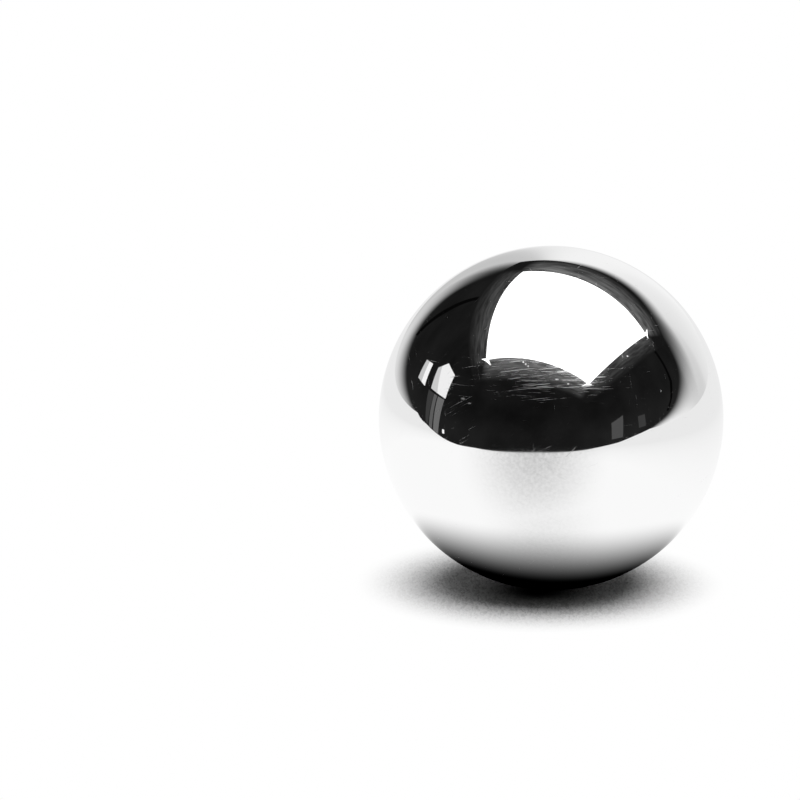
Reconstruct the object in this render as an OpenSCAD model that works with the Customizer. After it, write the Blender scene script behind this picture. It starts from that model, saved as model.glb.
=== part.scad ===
// Polished solid steel ball, one piece of steel with no seam, flat or bore.
// The origin is the centre of the ball, +Z is up, and sizes are in millimetres.

/* [Ball] */
// Diameter of the ball
ball_d = 50; // [10:0.5:100]

/* [Hidden] */
// Steps round a great circle, enough for the outline to read as smooth
$fn = 180;

// The whole part: a true sphere, as grinding and lapping between two grooved plates leave it
module ball() {
    color([0.84, 0.85, 0.86])
        sphere(d = ball_d);
}

ball();
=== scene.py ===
# %% [markdown]
# # A mirror-polished steel ball
#
# The part is one solid steel ball, 50 mm across, polished until it mirrors the studio round it.
# A mirror has hardly a look of its own. What the eye reads as steel is the pale table and the
# backdrop, the dark room beyond them, a big square lamp overhead, and the fine scratches that
# catch the lamp's light. So this lesson makes three things: a perfectly round mesh, a finish that
# has the wear of real polished steel, and a small studio that is worth mirroring.

# %% Frame
import math

import bpy
from mathutils import Euler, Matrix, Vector


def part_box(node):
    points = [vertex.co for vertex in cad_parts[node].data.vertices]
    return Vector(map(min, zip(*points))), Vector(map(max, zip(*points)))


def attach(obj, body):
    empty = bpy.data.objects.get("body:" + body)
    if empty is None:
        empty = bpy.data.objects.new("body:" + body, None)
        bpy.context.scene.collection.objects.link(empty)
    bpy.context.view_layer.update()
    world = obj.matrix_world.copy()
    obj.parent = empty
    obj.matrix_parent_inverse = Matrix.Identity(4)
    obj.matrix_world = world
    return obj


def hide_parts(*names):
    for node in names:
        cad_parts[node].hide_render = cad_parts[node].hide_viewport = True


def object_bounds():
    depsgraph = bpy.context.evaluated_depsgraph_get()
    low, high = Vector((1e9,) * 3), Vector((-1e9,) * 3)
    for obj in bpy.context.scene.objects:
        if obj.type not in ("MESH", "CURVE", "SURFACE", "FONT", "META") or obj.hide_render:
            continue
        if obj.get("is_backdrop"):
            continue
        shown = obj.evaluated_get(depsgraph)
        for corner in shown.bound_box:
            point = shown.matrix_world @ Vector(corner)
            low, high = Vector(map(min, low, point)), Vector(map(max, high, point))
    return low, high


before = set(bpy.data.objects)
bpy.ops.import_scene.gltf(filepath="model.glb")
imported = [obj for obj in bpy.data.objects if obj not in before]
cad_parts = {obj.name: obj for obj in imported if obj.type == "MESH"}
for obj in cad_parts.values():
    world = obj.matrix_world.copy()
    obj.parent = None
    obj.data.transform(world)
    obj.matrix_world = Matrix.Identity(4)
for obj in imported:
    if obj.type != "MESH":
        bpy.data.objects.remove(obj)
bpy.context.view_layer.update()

node_low, node_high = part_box("ball")
ball_r = (node_high - node_low).z / 2
table_z = -ball_r
print(f"ball radius {ball_r * 1000:.2f} mm, table at {table_z * 1000:.2f} mm")

# %% [markdown]
# ## Small helpers
#
# Small lengths are written in millimetres, and one function turns them into metres. Colours are
# written as the sRGB hex values that a paint program shows, and a second function turns them into
# the linear values that the shaders work with. Nodes are added by one function that takes the
# settings and the links together, so that a material reads from top to bottom.

# %% Helpers
MM = 0.001


def metres(values_mm):
    """Turns millimetres into metres."""
    return [v * MM for v in values_mm]


def linear(hex_colour):
    """Turns an sRGB hex value such as #E0E0E0 into a linear RGBA colour."""
    channels = [int(hex_colour[i:i + 2], 16) / 255 for i in (1, 3, 5)]
    return [c / 12.92 if c <= 0.04045 else ((c + 0.055) / 1.055) ** 2.4 for c in channels] + [1.0]


def add_node(tree, kind, inputs=(), **settings):
    """Adds a node. Inputs come in order or by name: plain values, nodes or their outputs."""
    made = tree.nodes.new("ShaderNode" + kind)
    for name, value in settings.items():
        setattr(made, name, value)
    if isinstance(inputs, dict):
        pairs = [(made.inputs[name], value) for name, value in inputs.items()]
    else:
        pairs = zip([socket for socket in made.inputs if socket.enabled], inputs)
    for socket, value in pairs:
        if isinstance(value, bpy.types.Node):
            value = next(output for output in value.outputs if output.enabled)
        if isinstance(value, bpy.types.NodeSocket):
            tree.links.new(value, socket)
        else:
            socket.default_value = value
    return made


def new_tree(name):
    """Makes an empty material and returns it with its node tree."""
    material = bpy.data.materials.new(name)
    material.use_nodes = True
    material.node_tree.nodes.clear()
    return material, material.node_tree


# %% [markdown]
# ## The camera
#
# A product picture of a small ball is taken from a metre away with a long lens, so the outline
# stays round. The lens looks down by 13.6 degrees. The ball's place in the picture is known, so
# the camera is put where a ball of this size shows at that place and at that size. No lens shift
# is needed, because the camera simply doesn't aim at the ball.

# %% Camera
PICTURE_PX = 800
BALL_AT_PX = (551.0, 418.0)
BALL_R_PX = 172.2
LENS_MM = 269.0
SENSOR_MM = 36.0
LOOK_DOWN = math.radians(13.6)

camera_data = bpy.data.cameras.new("camera")
camera_data.lens = LENS_MM
camera_data.sensor_width = SENSOR_MM
camera_data.dof.use_dof = False
camera = bpy.data.objects.new("camera", camera_data)
bpy.context.scene.collection.objects.link(camera)
bpy.context.scene.camera = camera

focal_px = LENS_MM / SENSOR_MM * PICTURE_PX
half = PICTURE_PX / 2
right_by = (BALL_AT_PX[0] - half) / focal_px
up_by = (half - BALL_AT_PX[1]) / focal_px
sight = Vector((right_by, up_by, -1)).normalized()
camera.rotation_euler = (math.pi / 2 - LOOK_DOWN, 0, 0)
distance = ball_r / math.sin(math.atan(BALL_R_PX / focal_px))
camera.location = -(camera.rotation_euler.to_matrix() @ sight) * distance
print(f"camera {distance * 1000:.0f} mm away at", [round(v, 3) for v in camera.location])

# %% [markdown]
# ## The ball
#
# A ball bearing is ground and lapped between two plates until it is round to a few thousandths of
# a millimetre, so the mesh has to be a true sphere with no pole to pinch the reflections. A UV
# sphere has two poles, and an icosphere has triangles that are hard to keep even. A cube is the
# better start: subdivided smoothly it swells into six patches of small even squares, and a Cast
# modifier then pushes each point out to exactly one radius.

# %% Ball mesh
BALL_LEVELS = 6

bpy.ops.object.select_all(action="DESELECT")
bpy.ops.mesh.primitive_cube_add(size=2 * ball_r, location=(0, 0, 0))
ball = bpy.context.active_object
ball.name = ball.data.name = "polished_ball"

swell = ball.modifiers.new("swell", "SUBSURF")
swell.levels = swell.render_levels = BALL_LEVELS
bpy.ops.object.modifier_apply(modifier=swell.name)

round_off = ball.modifiers.new("round_off", "CAST")
round_off.cast_type = "SPHERE"
round_off.factor = 1.0
round_off.use_radius_as_size = False
round_off.size = ball_r
bpy.ops.object.modifier_apply(modifier=round_off.name)
bpy.ops.object.shade_smooth()

radii = [v.co.length for v in ball.data.vertices]
print(f"{len(ball.data.polygons)} squares, radius {min(radii) * 1000:.4f} to {max(radii) * 1000:.4f} mm")

# %% [markdown]
# ## Mirror-polished steel
#
# Chromium steel takes a polish like a mirror. It is a metal through and through, so Metallic is 1
# and the colour is the mirror's own brightness, a neutral pale grey. What keeps it from looking
# computer-made is its wear. A hairline scratch from handling is about a hundredth of a millimetre
# wide. Its walls throw the light aside, so it only shows near the mirror image of the lamp, as a
# fine bright line on the dark. Bump can't hold marks that are finer than a pixel. They are drawn as
# lines of higher roughness instead, ten times too wide, and the edges of all that is mirrored stay
# sharp between them.
#
# Noise that is squeezed along an axis and stretched round it gives long thin marks that run round
# that axis, as if the ball had turned against grit. Only its peaks are kept. Most scratches are
# nearly level, because a ball rolls and is wiped round, and they are thickest in a belt across the
# front. Others cross at odd angles. A patch of slanting scuffs low on the left and a few deeper
# nicks finish the wear.

# %% Hairline scratches
SCRATCH_SPACING_MM = 0.12
SCRATCH_LENGTH_MM = 6.0
SCRATCH_PEAK = 0.69
SCRATCH_FULL = 0.81
LEVEL_AXES = ((0.03, 0.08, 1.0), (-0.10, 0.30, 0.95))
CROSSING_AXES = ((1.0, 0.1, 0.1), (-0.7, 0.25, 0.7))
STREAK_AXIS = (0.47, -0.19, 0.86)
SCUFF_AXIS = (-0.30, 0.39, 0.71)
MORE_IN_BELT = 0.13
MORE_CROSSING = 0.02
MORE_STREAKS = 0.16
MORE_IN_SCUFF = 0.12
BELT_AT_MM = (-1.0, -22.0, 10.8)
BELT_REACH_MM = (22.0, 14.0, 5.2)
SCUFF_AT_MM = (-13.6, -20.0, 5.6)
SCUFF_REACH_MM = (5.5, 8.0, 5.5)
CLOUD_MM = 5.0
NICKS_MM = (
    ((-4.5, -20.7, 13.2), (0.22, 0.3, 0.22)),
    ((-4.15, -20.9, 12.95), (0.22, 0.3, 0.22)),
    ((-3.8, -21.1, 12.7), (0.22, 0.3, 0.22)),
    ((10.3, -18.3, 13.5), (0.2, 0.3, 0.2)),
    ((0.2, -22.4, 11.1), (0.5, 0.3, 0.25)),
    ((1.8, -22.6, 10.5), (0.3, 0.3, 0.2)),
    ((15.1, -18.1, 8.4), (0.3, 0.3, 0.4)),
    ((-13.0, -19.9, 7.7), (0.7, 0.8, 0.3)),
    ((-12.1, -20.7, 7.2), (0.6, 0.8, 0.25)),
)

steel, tree = new_tree("mirror_polished_steel")
place = add_node(tree, "TexCoord").outputs["Object"]


def scratches(tree, place, axis, amount, more):
    """A family of fine marks round an axis: one on a mark, zero between. Amount adds more marks."""
    axis = Vector(axis).normalized()
    along = 1 / (SCRATCH_LENGTH_MM * MM)
    across = 1 / (SCRATCH_SPACING_MM * MM)
    height = add_node(tree, "VectorMath", [place, axis], operation="DOT_PRODUCT")
    squeeze = add_node(tree, "VectorMath", [axis * (across - along), height], operation="SCALE")
    grid = add_node(tree, "VectorMath", [place, [along] * 3, squeeze], operation="MULTIPLY_ADD")
    noise = add_node(tree, "TexNoise", {"Vector": grid, "Scale": 1.0, "Detail": 3.0, "Roughness": 0.6})
    raised = add_node(tree, "Math", [amount, more, noise], operation="MULTIPLY_ADD")
    return add_node(tree, "MapRange", [raised, SCRATCH_PEAK, SCRATCH_FULL])


def patch(tree, place, centre_mm, reach_mm):
    """A soft oval area on the ball: one in the middle, zero from its reach on."""
    away = add_node(tree, "VectorMath", [place, metres(centre_mm)], operation="SUBTRACT")
    share = add_node(tree, "VectorMath", [away, metres(reach_mm)], operation="DIVIDE")
    length = add_node(tree, "VectorMath", [share], operation="LENGTH")
    return add_node(tree, "MapRange", [length, 1.0, 0.0], interpolation_type="SMOOTHSTEP")


belt = patch(tree, place, BELT_AT_MM, BELT_REACH_MM)
scuff = patch(tree, place, SCUFF_AT_MM, SCUFF_REACH_MM)
clouds = add_node(tree, "TexNoise", {"Vector": place, "Scale": 1 / (CLOUD_MM * MM), "Detail": 3.0})
families = [scratches(tree, place, axis, belt, MORE_IN_BELT) for axis in LEVEL_AXES]
families += [scratches(tree, place, axis, clouds, MORE_CROSSING) for axis in CROSSING_AXES]
families.append(scratches(tree, place, SCUFF_AXIS, scuff, MORE_IN_SCUFF))
families += [patch(tree, place, centre, reach) for centre, reach in NICKS_MM]
marks = families[0]
for family in families[1:]:
    marks = add_node(tree, "Math", [marks, family], operation="MAXIMUM")
print(len(LEVEL_AXES), "level and", len(CROSSING_AXES), "crossing families of scratches")

# %% [markdown]
# ## A grey patch and the shader
#
# On the front a patch of the mirror is greyer and a little rougher. It greys what is white and lifts
# what is dark, with a fine mottled grain and slanting streaks. Below the patch it runs on, thinner,
# to the underside.

# %% Steel shader
STEEL_HEX = "#F9F9F9"
GREY_PATCH_HEX = "#CBCBCB"
POLISH_ROUGHNESS = 0.02
SCRATCH_ROUGHNESS = 0.45
GREY_PATCH_AT_MM = (-3.0, -24.8, 1.0)
GREY_PATCH_REACH_MM = (11.5, 20.0, 15.0)
THIN_GREY_AT_MM = (-1.5, -21.0, -13.0)
THIN_GREY_REACH_MM = (10.0, 14.0, 13.0)
THIN_GREY_SHARE = 0.42
GREY_PATCH_ROUGHNESS = 0.05
GREY_PATCH_GRAIN_MM = 0.45
GRAIN_SPAN = (0.3, 0.7)
MOTTLE = (0.78, 1.12)
STREAK_DEPTH = 0.5

# A patch on the front where the base colour is greyer and the roughness a little higher.
grey_area = patch(tree, place, GREY_PATCH_AT_MM, GREY_PATCH_REACH_MM)
thin_area = patch(tree, place, THIN_GREY_AT_MM, THIN_GREY_REACH_MM)
thin_area = add_node(tree, "Math", [thin_area, THIN_GREY_SHARE], operation="MULTIPLY")
grey_area = add_node(tree, "Math", [grey_area, thin_area], operation="MAXIMUM")
grain = add_node(tree, "TexNoise", {"Vector": place, "Scale": 1 / (GREY_PATCH_GRAIN_MM * MM), "Detail": 2.0})
mottle = add_node(tree, "MapRange", [grain, *GRAIN_SPAN, *MOTTLE])
streaks = scratches(tree, place, STREAK_AXIS, clouds, MORE_STREAKS)
uneven = add_node(tree, "Math", [streaks, STREAK_DEPTH, mottle], operation="MULTIPLY_ADD")
greying = add_node(tree, "Math", [grey_area, uneven], operation="MULTIPLY")
colour = add_node(tree, "Mix", [greying, linear(STEEL_HEX), linear(GREY_PATCH_HEX)], data_type="RGBA",
                  clamp_factor=False)
hazed = add_node(tree, "Math", [greying, GREY_PATCH_ROUGHNESS, POLISH_ROUGHNESS], operation="MULTIPLY_ADD")
roughness = add_node(tree, "Math", [marks, SCRATCH_ROUGHNESS, hazed], operation="MULTIPLY_ADD")
shine = add_node(tree, "BsdfPrincipled", {
    "Base Color": colour,
    "Metallic": 1.0,
    "Roughness": roughness,
})
add_node(tree, "OutputMaterial", [shine])

ball.data.materials.clear()
ball.data.materials.append(steel)
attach(ball, "root")
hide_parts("ball")
print("steel:", len(tree.nodes), "nodes")

# %% [markdown]
# ## The table
#
# The ball lies on a table with white paper. Close to the ball the paper is an ordinary matt white
# with a fine grain, so it keeps the ball's shadow. Further out it is plain white, the same to the
# camera and to the mirror of the ball, and so is the world behind it. None of that white lights the
# ball: the light path tells the paper that is seen from the paper that light bounces on. A product
# picture is printed with deep blacks, so a painted contact shadow darkens the paper's colour where
# the ball touches it.
#
# The table ends a hand's length in front of the ball, and its edge is the lower rim of the dark oval
# in the mirror. In the mirror the shadow is drawn as a soft ring of its own, because a mirrored
# shadow is mostly noise when it is worked out from bounced light. The ring is wider than the shadow
# itself: steel gives back less light than falls on it, so more of the half-shade looks dark. The
# mirrored table is brightest in front on the left and dims away from there.

# %% Table and background
PAPER_HEX = "#F7F7F7"
PAPER_GRAIN_HEX = "#CCCCCC"
PAPER_GRAIN_MM = (0.6, 1.8, 0.6)
PAPER_GRAIN_SPAN = (0.38, 0.68)
GRAIN_CURL = 1.5
CONTACT_CENTRE_MM = (-2.0, -4.0, 0.0)
CONTACT_DARK_MM = 1.0
CONTACT_CLEAR_MM = 11.0
SHADOW_CENTRE_MM = (-1.5, 0.5, 0.0)
SHADOW_KEPT_MM = 12.5
SHADOW_GONE_MM = 27.5
RING_CENTRE_MM = (-1.0, 2.5, 0.0)
RING_DARK_MM = 12.5
RING_CLEAR_MM = 32.0
RING_POWER = 1.25
LIT_CENTRE_MM = (-50.0, -60.0, 0.0)
TABLE_BRIGHT_TO_MM = 110.0
TABLE_FAR_MM = 240.0
TABLE_FAR_STRENGTH = 0.86
SKY_LIGHT = 0.26
TABLE_FRONT_MM = (
    (-3400, 720), (-890, 125), (-590, 42), (-490, 2), (-298, -44), (-216, -63), (-179, -76),
    (-157, -88), (-136, -116), (-108, -134), (-58, -172), (-29, -186), (2, -191), (36, -195),
    (77, -205), (104, -216), (137, -227), (226, -250), (330, -297), (527, -380), (953, -535),
    (3400, -1400),
)
TABLE_BACK_MM = ((3400, 3400), (-3400, 3400))

bpy.ops.object.select_all(action="DESELECT")
table_outline = [*TABLE_FRONT_MM, *TABLE_BACK_MM]
bpy.ops.mesh.primitive_circle_add(vertices=len(table_outline), radius=1.0, fill_type="NGON")
table = bpy.context.active_object
table.name = "table"
for vertex, (x, y) in zip(table.data.vertices, table_outline):
    vertex.co = (x * MM, y * MM, 0)
table.location.z = table_z
table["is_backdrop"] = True


def clear_of(tree, place, centre_mm, near_mm, far_mm):
    """Zero up to one distance from a point of the table, and one from a second distance on."""
    away = add_node(tree, "VectorMath", [place, metres(centre_mm)], operation="DISTANCE")
    span = [near_mm * MM, far_mm * MM]
    return add_node(tree, "MapRange", [away, *span], interpolation_type="SMOOTHSTEP")


paper, tree = new_tree("white_paper")
place = add_node(tree, "TexCoord").outputs["Object"]
path = add_node(tree, "LightPath").outputs
fibre_grid = add_node(tree, "VectorMath", [place, metres(PAPER_GRAIN_MM)], operation="DIVIDE")
fibres = add_node(tree, "TexNoise", {
    "Vector": fibre_grid,
    "Scale": 1.0,
    "Detail": 1.0,
    "Distortion": GRAIN_CURL,
})
grain = add_node(tree, "MapRange", [fibres, *PAPER_GRAIN_SPAN])
plain = add_node(tree, "Mix", [grain, linear(PAPER_HEX), linear(PAPER_GRAIN_HEX)], data_type="RGBA")
# Painted contact shadow: the paper's colour is darkened towards the point where the ball touches it.
painted_contact_shade = clear_of(tree, place, CONTACT_CENTRE_MM, CONTACT_DARK_MM, CONTACT_CLEAR_MM)
paper_with_painted_shade = add_node(tree, "VectorMath", [plain, painted_contact_shade], operation="SCALE")
matt = add_node(tree, "BsdfDiffuse", {"Color": paper_with_painted_shade})

clear = clear_of(tree, place, SHADOW_CENTRE_MM, SHADOW_KEPT_MM, SHADOW_GONE_MM)
clear_to_camera = add_node(tree, "Math", [clear, path["Is Camera Ray"]], operation="MULTIPLY")
white = add_node(tree, "Emission", {"Strength": 1.0})
direct = add_node(tree, "MixShader", [clear_to_camera, matt, white])

ring = clear_of(tree, place, RING_CENTRE_MM, RING_DARK_MM, RING_CLEAR_MM)
ring = add_node(tree, "Math", [ring, RING_POWER], operation="POWER")
from_lit = add_node(tree, "VectorMath", [place, metres(LIT_CENTRE_MM)], operation="DISTANCE")
far_range = [TABLE_BRIGHT_TO_MM * MM, TABLE_FAR_MM * MM, 1.0, TABLE_FAR_STRENGTH]
far_light = add_node(tree, "MapRange", [from_lit, *far_range])
mirrored_light = add_node(tree, "Math", [ring, far_light], operation="MULTIPLY")
mirrored = add_node(tree, "Emission", {"Strength": mirrored_light})
in_mirror = add_node(tree, "Math", [path["Is Glossy Ray"], path["Is Transmission Ray"]],
                     operation="MAXIMUM")
mixed = add_node(tree, "MixShader", [in_mirror, direct, mirrored])
add_node(tree, "OutputMaterial", [mixed])
table.data.materials.append(paper)

world = bpy.data.worlds.new("white_background")
world.use_nodes = True
tree = world.node_tree
tree.nodes.clear()
path = add_node(tree, "LightPath").outputs
in_mirror = add_node(tree, "Math", [path["Is Glossy Ray"], path["Is Transmission Ray"]],
                     operation="MAXIMUM")
seen = add_node(tree, "Math", [path["Is Camera Ray"], in_mirror], operation="MAXIMUM")
strength = add_node(tree, "MapRange", [seen, 0.0, 1.0, SKY_LIGHT, 1.0])
sky = add_node(tree, "Background", {"Color": (1, 1, 1, 1), "Strength": strength})
add_node(tree, "OutputWorld", [sky])
bpy.context.scene.world = world
print("table at", round(table.location.z * 1000, 2), "mm")

# %% [markdown]
# ## The lamp
#
# One softbox hangs over the ball, half a metre wide and 30 cm up, a little turned and tipped. It is
# the big white shape on top of the ball and it makes the soft shadow below. Its white cloth is
# stretched between four corners, so its sides draw in and its corners run out into points. Round it
# run a black seam and a black cloth lip that flares out and catches a little light, less and less
# towards its outer edge. The lip is four flaps that don't quite meet, so it goes dark at the
# corners, and at three of them a white dart of lit cloth sticks out.
#
# A grid is drawn in along its sides. An inset with a depth makes the lip from it in a single step,
# a second, flat inset makes the seam, and then the lip's outer ring is pulled wider, most of all at
# the back. The darts and all later pale shapes are cards: flat sheets that only the mirror sees,
# because they stand outside the picture.

# %% Softbox
SOFTBOX_AT = Vector((0.0560, -0.0370, 0.3008))
SOFTBOX_TURN = Euler((math.radians(6.8), math.radians(1.8), math.radians(-24.3)))
SOFTBOX_SIZE = (0.488, 0.481)
SOFTBOX_SAG = (0.058, 0.114)
SOFTBOX_STRENGTH = 2.1
GRID_CELLS = 16
LIP = 0.048
SEAM = 0.009
LIP_BRIGHT = 0.062
LIP_FRONT_AND_BACK = 2.4
SIDE_FLARE = 1.08
FRONT_FLARE = 1.18
BACK_FLARE = 1.34
CORNER_FADE = (0.225, 0.265)
ROOM_GLOW = 0.009
LIP_FOLD_MM = (70.0, 70.0, 5.0)
FOLD_SPAN = (0.3, 0.7)
FOLD_LIGHT = (0.3, 1.7)
DART_MM = ((-9, -7), (29, -6), (5, 8), (-20, 32))
DART_NEARER = 0.82


def glow(name, strength=None):
    """A material that only shines. Without a strength its tree is left for more nodes."""
    material, tree = new_tree(name)
    light = add_node(tree, "Emission", {} if strength is None else {"Strength": strength})
    add_node(tree, "OutputMaterial", [light])
    return material, tree, light.inputs["Strength"]


def mirror_only(piece):
    """Lets only the ball's mirror see a piece: it stands outside the picture."""
    piece.visible_camera = False
    piece.visible_diffuse = False
    piece.visible_shadow = False
    piece.visible_transmission = False
    piece.visible_volume_scatter = False


def card(name, strength, points):
    """A flat glowing sheet through the given points."""
    bpy.ops.object.select_all(action="DESELECT")
    bpy.ops.mesh.primitive_circle_add(vertices=len(points), radius=1.0, fill_type="NGON")
    made = bpy.context.active_object
    made.name = name
    for vertex, point in zip(made.data.vertices, points):
        vertex.co = point
    made.data.materials.append(glow(name, strength)[0])
    made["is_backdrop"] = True
    mirror_only(made)


def drawn_in(x, y):
    """Where a point of a square from -1 to 1 lies once the sides are drawn in."""
    sag_x, sag_y = SOFTBOX_SAG
    return x * (1 - sag_x * (1 - y * y)), y * (1 - sag_y * (1 - x * x))


lip, tree, lip_strength = glow("lip_cloth")
place = add_node(tree, "TexCoord").outputs["Object"]
out_by = add_node(tree, "VectorMath", [place], operation="ABSOLUTE")
out_by = add_node(tree, "SeparateXYZ", [out_by]).outputs
across = add_node(tree, "MapRange", [out_by["Z"], 0.0, LIP, LIP_BRIGHT, 0.0])
front_or_back = add_node(tree, "Math", [out_by["Y"], out_by["X"]], operation="GREATER_THAN")
by_side = add_node(tree, "MapRange", [front_or_back, 0.0, 1.0, 1.0, LIP_FRONT_AND_BACK])
fold_grid = add_node(tree, "VectorMath", [place, metres(LIP_FOLD_MM)], operation="DIVIDE")
folds = add_node(tree, "TexNoise", {"Vector": fold_grid, "Scale": 1.0, "Detail": 3.0})
fold_light = add_node(tree, "MapRange", [folds, *FOLD_SPAN, *FOLD_LIGHT])
into_corner = add_node(tree, "Math", [out_by["X"], out_by["Y"]], operation="MINIMUM")
off_corner = add_node(tree, "MapRange", [into_corner, *CORNER_FADE, 1.0, 0.0])
lip_light = add_node(tree, "Math", [across, fold_light], operation="MULTIPLY")
lip_light = add_node(tree, "Math", [lip_light, off_corner], operation="MULTIPLY")
lip_light = add_node(tree, "Math", [lip_light, by_side, ROOM_GLOW], operation="MULTIPLY_ADD")
tree.links.new(lip_light.outputs[0], lip_strength)

bpy.ops.object.select_all(action="DESELECT")
bpy.ops.mesh.primitive_grid_add(x_subdivisions=GRID_CELLS, y_subdivisions=GRID_CELLS, size=2.0)
softbox = bpy.context.active_object
softbox.name = "softbox"
for vertex in softbox.data.vertices:
    x, y = drawn_in(vertex.co.x, vertex.co.y)
    vertex.co = (x * (SOFTBOX_SIZE[0] / 2 + LIP), y * (SOFTBOX_SIZE[1] / 2 + LIP), -LIP)
softbox.data.materials.append(lip)
softbox.data.materials.append(glow("black_seam", 0.0)[0])
softbox.data.materials.append(glow("white_cloth", SOFTBOX_STRENGTH)[0])
bpy.ops.object.mode_set(mode="EDIT")
bpy.ops.mesh.select_all(action="SELECT")
bpy.ops.mesh.inset(thickness=LIP - SEAM, depth=LIP)
softbox.active_material_index = 1
bpy.ops.object.material_slot_assign()
bpy.ops.mesh.inset(thickness=SEAM)
softbox.active_material_index = 2
bpy.ops.object.material_slot_assign()
bpy.ops.object.mode_set(mode="OBJECT")
lowest = min(vertex.co.z for vertex in softbox.data.vertices)
for vertex in softbox.data.vertices:
    if math.isclose(vertex.co.z, lowest, abs_tol=MM):
        vertex.co.x *= SIDE_FLARE
        vertex.co.y *= BACK_FLARE if vertex.co.y > 0 else FRONT_FLARE
softbox.location = SOFTBOX_AT
softbox.rotation_euler = SOFTBOX_TURN
softbox.visible_camera = False
softbox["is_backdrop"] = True

for name, right, back in (("left", -1, -1), ("front", 1, -1), ("right", 1, 1)):
    corners = []
    for out_x, out_y in DART_MM:
        x = right * (SOFTBOX_SIZE[0] / 2 + out_x * MM)
        y = back * (SOFTBOX_SIZE[1] / 2 + out_y * MM)
        corner = SOFTBOX_AT + SOFTBOX_TURN.to_matrix() @ Vector((x, y, 0))
        corners.append(corner * DART_NEARER)
    card(f"dart_{name}", SOFTBOX_STRENGTH, corners)
print("softbox", [round(v, 3) for v in softbox.dimensions], "m")

# %% [markdown]
# ## The dark room and the lit backdrop
#
# Past the table the studio is dark, and this is what gives polished steel its black. A dome of dark
# cloth stands for the room. Behind the ball the white paper sweeps up into a backdrop, which shows
# as the pale rim of the ball. It stands highest straight behind the ball and falls away on both
# sides, and its light fades softly towards its top edge. Just above the table a little haze of
# light from the paper lifts the darkness.
#
# Everything on the dome is drawn by direction: the azimuth runs from 0 in front, over 90 on the
# right and 180 behind, to 270 on the left. Three curves over the azimuth say how high the lit paper
# reaches, up to where it has its full light, and how bright that is.

# %% Dark dome with the lit backdrop
DOME_RADIUS = 3.0
ROOM_DARKEST = 0.0055
ROOM_LIGHTEST = 0.0105
LOW_HAZE = 0.005
HAZE_GONE_AT = 14.0
ROOM_PATCH_M = 0.9
PATCH_SPAN = (0.35, 0.68)
LOWEST, HIGHEST = -15.0, 45.0
EDGE_AT = (
    (45, -11.0), (58, -3.0), (70, 0.6), (85, 4.8), (99, 12.2), (106, 18.0), (113, 29.0), (120, 35.0),
    (134, 36.5), (160, 39.3), (183, 41.0), (190, 41.0), (197, 39.5), (204, 35.5), (211, 24.0),
    (220, 14.0), (250, 2.0), (265, -3.0), (275, -11.0),
)
FULL_LIGHT_TO = (
    (45, -12.0), (60, -5.0), (85, -1.0), (99, -2.0), (113, -4.5), (120, 2.5), (127, 16.0), (134, 24.0),
    (155, 29.5), (183, 33.0), (190, 25.0), (197, 10.0), (204, -3.0), (265, -6.0), (275, -12.0),
)
STRENGTH_AT = (
    (50, 0.00), (58, 0.88), (100, 0.88), (113, 0.72), (124, 0.66), (134, 0.77), (155, 0.87),
    (170, 0.93), (183, 0.63), (190, 0.56), (204, 0.73), (250, 0.93), (264, 0.93), (270, 0.0),
)
SPILL = 0.002

bpy.ops.object.select_all(action="DESELECT")
bpy.ops.mesh.primitive_uv_sphere_add(segments=96, ring_count=48, radius=DOME_RADIUS)
dome = bpy.context.active_object
dome.name = "dark_dome"
bpy.ops.object.shade_smooth()
dome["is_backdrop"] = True
mirror_only(dome)

cloth, tree, dome_strength = glow("dark_cloth_and_backdrop")
place = add_node(tree, "TexCoord").outputs["Object"]
unit = add_node(tree, "VectorMath", [place], operation="NORMALIZE")
side = add_node(tree, "SeparateXYZ", [unit]).outputs
from_back = add_node(tree, "Math", [side["X"], side["Y"]], operation="ARCTAN2")
turn = add_node(tree, "MapRange", [from_back, math.pi, -math.pi, 0.0, 1.0])
climb = add_node(tree, "Math", [side["Z"]], operation="ARCSINE")
height = add_node(tree, "MapRange", [climb, math.radians(LOWEST), math.radians(HIGHEST), 0.0, 1.0])

curves = []
for points, low, high in (
    (EDGE_AT, LOWEST, HIGHEST),
    (FULL_LIGHT_TO, LOWEST, HIGHEST),
    (STRENGTH_AT, 0.0, 1.0),
):
    node = add_node(tree, "FloatCurve", {"Value": turn})
    curve = node.mapping.curves[0]
    for _ in points[2:]:
        curve.points.new(0.5, 0.5)
    for point, (azimuth, value) in zip(curve.points, points):
        point.location = (azimuth / 360, (value - low) / (high - low))
    node.mapping.extend = "HORIZONTAL"
    node.mapping.update()
    curves.append(node)
edge, full_to, strength = curves

share = add_node(tree, "MapRange", [height, edge, full_to, SPILL, 1.0],
                 interpolation_type="SMOOTHSTEP")
paper_light = add_node(tree, "Math", [share, strength], operation="MULTIPLY")
patches = add_node(tree, "TexNoise", {"Vector": place, "Scale": 1 / ROOM_PATCH_M, "Detail": 4.0})
room_light = add_node(tree, "MapRange", [patches, *PATCH_SPAN, ROOM_DARKEST, ROOM_LIGHTEST])
haze_range = [0.0, math.radians(HAZE_GONE_AT), LOW_HAZE, 0.0]
haze = add_node(tree, "MapRange", [climb, *haze_range])
room_light = add_node(tree, "Math", [room_light, haze], operation="ADD")
light = add_node(tree, "Math", [room_light, paper_light], operation="ADD")
tree.links.new(light.outputs[0], dome_strength)
dome.data.materials.append(cloth)
print("backdrop up to", max(e for _, e in EDGE_AT), "degrees")

# %% [markdown]
# ## Windows
#
# Two window panes in the left wall are the small bright shapes low on the left of the ball, with
# their light on the wall below them. Further right two cupboards stand in the room as grey shapes.
# Thin black gaps mark the two side edges of the backdrop. Each is a card that is placed by the
# direction in which the ball sees it.

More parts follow.
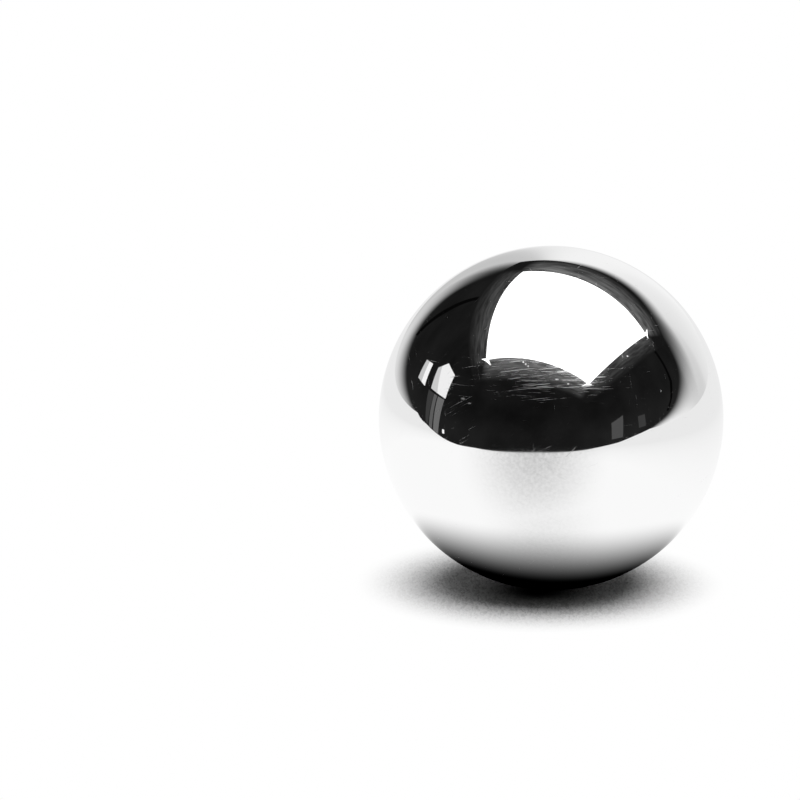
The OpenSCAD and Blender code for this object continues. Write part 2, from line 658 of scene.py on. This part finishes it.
# %% Window panes and other shapes
CARD_DISTANCE = 2.5
CARDS = {
    "pane_far_dim": (0.58, ((-111.9, 19.9), (-108.2, 20.9), (-106.1, 11.9), (-111.1, 11.8))),
    "pane_far": (0.95, ((-108.2, 20.9), (-103.9, 21.9), (-101.5, 11.8), (-106.1, 11.9))),
    "pane_near_dim": (0.62, ((-97.4, 23.1), (-94.8, 25.2), (-87.9, 13.1), (-94.9, 13.2))),
    "pane_near": (0.90, (
        (-94.8, 25.2), (-91.0, 28.6), (-80.0, 26.1), (-79.7, 12.8), (-87.9, 13.1),
    )),
    "wall_light_dim": (0.045, ((-96.5, 12.0), (-90.5, 12.0), (-90.5, -3.0), (-93.0, -2.0))),
    "wall_light_a": (0.11, ((-90.3, 12.0), (-87.2, 12.0), (-86.6, -4.4), (-89.6, -3.6))),
    "wall_light_b": (0.15, ((-86.4, 12.0), (-80.3, 12.0), (-81.2, -6.0), (-85.6, -4.8))),
    "lamp_dot": (1.0, ((-77.9, -2.9), (-76.2, -2.9), (-76.0, -5.0), (-77.7, -5.0))),
    "cupboard": (0.075, ((39.2, 7.5), (48.1, 11.0), (46.6, -2.0), (38.8, -2.5))),
    "cupboard_far": (0.045, ((58.9, 8.2), (64.4, 8.3), (64.1, 1.8), (58.7, 1.5))),
    "gap_left": (0.002, (
        (-137.0, 46.0), (-133.8, 46.0), (-134.8, 30.0), (-138.5, 14.0), (-141.5, 12.0), (-138.5, 30.0),
    )),
    "gap_right": (0.002, (
        (97.0, 38.0), (95.2, 25.0), (93.5, 17.0), (88.0, 9.5), (82.5, 5.5),
        (84.0, 5.0), (90.5, 10.0), (95.5, 16.0), (97.2, 25.0), (99.2, 38.0),
    )),
}


def toward(azimuth, elevation):
    """A direction as seen from the ball: azimuth 0 is in front, 90 to the right, in degrees."""
    a, e = math.radians(azimuth), math.radians(elevation)
    return Vector((math.cos(e) * math.sin(a), -math.cos(e) * math.cos(a), math.sin(e)))


for name, (strength, corners) in CARDS.items():
    card(name, strength, [toward(*corner) * CARD_DISTANCE for corner in corners])
print(len(CARDS), "cards")

# %% [markdown]
# ## Render settings
#
# The view transform is Standard, so a grey renders as it is written. Light that goes from the
# paper to the mirror and back to the paper is left out, because it is mostly noise.

# %% Finish
scene = bpy.context.scene
scene.view_settings.view_transform = "Standard"
scene.cycles.caustics_reflective = False

low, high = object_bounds()
print("visual box", [round(v * 1000, 3) for v in (*low, *high)], "mm")
